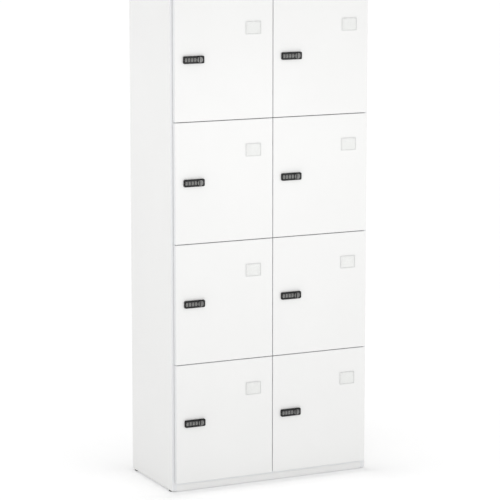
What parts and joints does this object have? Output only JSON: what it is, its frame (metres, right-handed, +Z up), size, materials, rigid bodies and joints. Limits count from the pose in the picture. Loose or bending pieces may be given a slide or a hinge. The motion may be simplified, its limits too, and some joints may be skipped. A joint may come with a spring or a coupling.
{
  "type": "parcel locker",
  "caption": "Tall free-standing cabinet with rows of parcel compartments behind flush white doors, each with a dial lock and a label holder.",
  "frame": {"origin": "on the floor under the centre of the cabinet's box", "axes": "+Z up, doors face -Y, +X to the right seen from the front"},
  "size_m": [0.8, 0.403, 1.816],
  "materials": {
    "white_board": "white melamine-faced board with matching edge band",
    "black_lock": "black moulded lock body",
    "grey_knob": "satin grey die-cast knob, spindle and cam",
    "grey_dial": "light grey moulded number dials",
    "label_plastic": "pale translucent moulded label frame",
    "nickel_steel": "nickel-plated pressed steel",
    "zinc_fitting": "zinc die-cast cams and steel bolts",
    "black_glide": "black polyethylene glides"
  },
  "bodies": {
    "cabinet": {"left_side_panel": "white_board", "right_side_panel": "white_board", "top_panel": "white_board", "bottom_panel": "white_board", "centre_partition": "white_board", "shelves": "white_board", "back_panel": "white_board", "plinth_rails": "white_board", "floor_glides": "black_glide", "cam_fittings": "zinc_fitting", "hinge_arms": "nickel_steel", "lock_keepers": "nickel_steel"},
    "door_1": {"door_panel_1": "white_board", "lock_housing_1": "black_lock", "label_holder_1": "label_plastic", "hinge_cups_1": "nickel_steel"},
    "knob_1": {"lock_knob_1": "grey_knob"},
    "dials_1": {"lock_dials_1": "grey_dial"},
    "door_2": {"door_panel_2": "white_board", "lock_housing_2": "black_lock", "label_holder_2": "label_plastic", "hinge_cups_2": "nickel_steel"},
    "knob_2": {"lock_knob_2": "grey_knob"},
    "dials_2": {"lock_dials_2": "grey_dial"},
    "door_3": {"door_panel_3": "white_board", "lock_housing_3": "black_lock", "label_holder_3": "label_plastic", "hinge_cups_3": "nickel_steel"},
    "knob_3": {"lock_knob_3": "grey_knob"},
    "dials_3": {"lock_dials_3": "grey_dial"},
    "door_4": {"door_panel_4": "white_board", "lock_housing_4": "black_lock", "label_holder_4": "label_plastic", "hinge_cups_4": "nickel_steel"},
    "knob_4": {"lock_knob_4": "grey_knob"},
    "dials_4": {"lock_dials_4": "grey_dial"},
    "door_5": {"door_panel_5": "white_board", "lock_housing_5": "black_lock", "label_holder_5": "label_plastic", "hinge_cups_5": "nickel_steel"},
    "knob_5": {"lock_knob_5": "grey_knob"},
    "dials_5": {"lock_dials_5": "grey_dial"},
    "door_6": {"door_panel_6": "white_board", "lock_housing_6": "black_lock", "label_holder_6": "label_plastic", "hinge_cups_6": "nickel_steel"},
    "knob_6": {"lock_knob_6": "grey_knob"},
    "dials_6": {"lock_dials_6": "grey_dial"},
    "door_7": {"door_panel_7": "white_board", "lock_housing_7": "black_lock", "label_holder_7": "label_plastic", "hinge_cups_7": "nickel_steel"},
    "knob_7": {"lock_knob_7": "grey_knob"},
    "dials_7": {"lock_dials_7": "grey_dial"},
    "door_8": {"door_panel_8": "white_board", "lock_housing_8": "black_lock", "label_holder_8": "label_plastic", "hinge_cups_8": "nickel_steel"},
    "knob_8": {"lock_knob_8": "grey_knob"},
    "dials_8": {"lock_dials_8": "grey_dial"}
  },
  "joints": [
    {"name": "door_1_hinge", "type": "hinge", "parent": "cabinet", "child": "door_1", "pos_m": [-0.007, -0.181, 1.5855], "axis": [0, 0, 1], "range_deg": [0, 110]},
    {"name": "knob_1_turn", "type": "hinge", "parent": "door_1", "child": "knob_1", "pos_m": [-0.2955, -0.1957, 1.587], "axis": [0, 1, 0], "range_deg": [0, 90]},
    {"name": "dials_1_turn", "type": "hinge", "parent": "door_1", "child": "dials_1", "pos_m": [-0.331, -0.1843, 1.587], "axis": [1, 0, 0], "continuous": true},
    {"name": "door_2_hinge", "type": "hinge", "parent": "cabinet", "child": "door_2", "pos_m": [0.384, -0.181, 1.5855], "axis": [0, 0, 1], "range_deg": [0, 110]},
    {"name": "knob_2_turn", "type": "hinge", "parent": "door_2", "child": "knob_2", "pos_m": [0.0955, -0.1957, 1.587], "axis": [0, 1, 0], "range_deg": [0, 90]},
    {"name": "dials_2_turn", "type": "hinge", "parent": "door_2", "child": "dials_2", "pos_m": [0.06, -0.1843, 1.587], "axis": [1, 0, 0], "continuous": true},
    {"name": "door_3_hinge", "type": "hinge", "parent": "cabinet", "child": "door_3", "pos_m": [-0.007, -0.181, 1.1425], "axis": [0, 0, 1], "range_deg": [0, 110]},
    {"name": "knob_3_turn", "type": "hinge", "parent": "door_3", "child": "knob_3", "pos_m": [-0.2955, -0.1957, 1.144], "axis": [0, 1, 0], "range_deg": [0, 90]},
    {"name": "dials_3_turn", "type": "hinge", "parent": "door_3", "child": "dials_3", "pos_m": [-0.331, -0.1843, 1.144], "axis": [1, 0, 0], "continuous": true},
    {"name": "door_4_hinge", "type": "hinge", "parent": "cabinet", "child": "door_4", "pos_m": [0.384, -0.181, 1.1425], "axis": [0, 0, 1], "range_deg": [0, 110]},
    {"name": "knob_4_turn", "type": "hinge", "parent": "door_4", "child": "knob_4", "pos_m": [0.0955, -0.1957, 1.144], "axis": [0, 1, 0], "range_deg": [0, 90]},
    {"name": "dials_4_turn", "type": "hinge", "parent": "door_4", "child": "dials_4", "pos_m": [0.06, -0.1843, 1.144], "axis": [1, 0, 0], "continuous": true},
    {"name": "door_5_hinge", "type": "hinge", "parent": "cabinet", "child": "door_5", "pos_m": [-0.007, -0.181, 0.6995], "axis": [0, 0, 1], "range_deg": [0, 110]},
    {"name": "knob_5_turn", "type": "hinge", "parent": "door_5", "child": "knob_5", "pos_m": [-0.2955, -0.1957, 0.701], "axis": [0, 1, 0], "range_deg": [0, 90]},
    {"name": "dials_5_turn", "type": "hinge", "parent": "door_5", "child": "dials_5", "pos_m": [-0.331, -0.1843, 0.701], "axis": [1, 0, 0], "continuous": true},
    {"name": "door_6_hinge", "type": "hinge", "parent": "cabinet", "child": "door_6", "pos_m": [0.384, -0.181, 0.6995], "axis": [0, 0, 1], "range_deg": [0, 110]},
    {"name": "knob_6_turn", "type": "hinge", "parent": "door_6", "child": "knob_6", "pos_m": [0.0955, -0.1957, 0.701], "axis": [0, 1, 0], "range_deg": [0, 90]},
    {"name": "dials_6_turn", "type": "hinge", "parent": "door_6", "child": "dials_6", "pos_m": [0.06, -0.1843, 0.701], "axis": [1, 0, 0], "continuous": true},
    {"name": "door_7_hinge", "type": "hinge", "parent": "cabinet", "child": "door_7", "pos_m": [-0.007, -0.181, 0.2565], "axis": [0, 0, 1], "range_deg": [0, 110]},
    {"name": "knob_7_turn", "type": "hinge", "parent": "door_7", "child": "knob_7", "pos_m": [-0.2955, -0.1957, 0.258], "axis": [0, 1, 0], "range_deg": [0, 90]},
    {"name": "dials_7_turn", "type": "hinge", "parent": "door_7", "child": "dials_7", "pos_m": [-0.331, -0.1843, 0.258], "axis": [1, 0, 0], "continuous": true},
    {"name": "door_8_hinge", "type": "hinge", "parent": "cabinet", "child": "door_8", "pos_m": [0.384, -0.181, 0.2565], "axis": [0, 0, 1], "range_deg": [0, 110]},
    {"name": "knob_8_turn", "type": "hinge", "parent": "door_8", "child": "knob_8", "pos_m": [0.0955, -0.1957, 0.258], "axis": [0, 1, 0], "range_deg": [0, 90]},
    {"name": "dials_8_turn", "type": "hinge", "parent": "door_8", "child": "dials_8", "pos_m": [0.06, -0.1843, 0.258], "axis": [1, 0, 0], "continuous": true}
  ]
}
